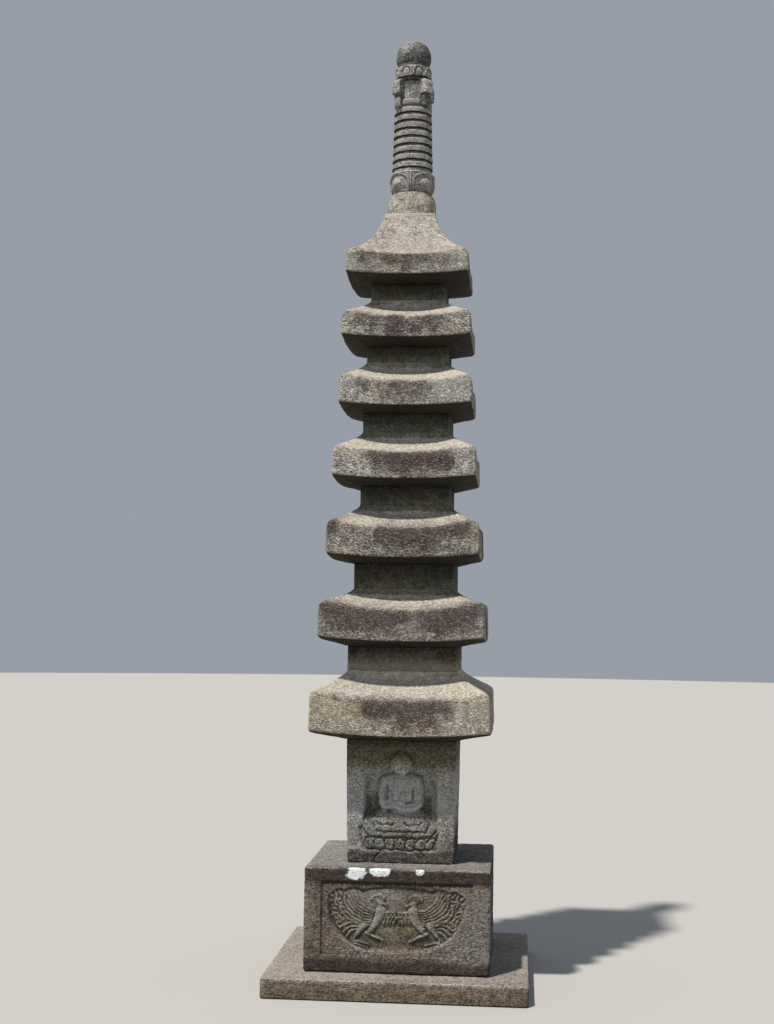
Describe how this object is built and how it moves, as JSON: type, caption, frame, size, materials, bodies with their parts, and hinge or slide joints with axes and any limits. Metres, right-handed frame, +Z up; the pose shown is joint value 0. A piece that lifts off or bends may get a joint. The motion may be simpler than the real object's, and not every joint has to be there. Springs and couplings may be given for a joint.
{
  "type": "seven-tier stone garden pagoda",
  "caption": "Slim tiered stone pagoda on a slab: carved base block, niches with seated figures, stacked upswept roofs and a ringed finial with a ball jewel.",
  "frame": {"origin": "middle of the ground slab's underside, on the level ground that the pagoda rests on", "axes": "+Z up the pagoda's axis, -Y out of the front face, +X to the right of someone who faces the front"},
  "size_m": [1.048, 0.991, 3.976],
  "materials": {
    "slab_granite": "rough-dressed granite, weathered pale grey-beige",
    "base_granite": "dressed granite, purplish-brown weathering with pale lichen",
    "storey_granite": "smooth-dressed granite with grey-green and brown stains",
    "roof_granite": "coarsely pecked granite, pale beige with purplish-brown stains",
    "finial_granite": "carved granite, dark grey weathering"
  },
  "bodies": {
    "root": {"ground_slab": "slab_granite", "base_block": "base_granite", "storey_1": "storey_granite", "roof_1": "roof_granite", "storey_2": "storey_granite", "roof_2": "roof_granite", "storey_3": "storey_granite", "roof_3": "roof_granite", "storey_4": "storey_granite", "roof_4": "roof_granite", "storey_5": "storey_granite", "roof_5": "roof_granite", "storey_6": "storey_granite", "roof_6": "roof_granite", "storey_7": "storey_granite", "roof_7": "roof_granite", "finial_bowl": "roof_granite", "finial_lotus": "finial_granite", "finial_rings": "finial_granite", "finial_flames": "finial_granite", "finial_top_lotus": "finial_granite", "finial_jewel": "finial_granite"}
  },
  "joints": []
}
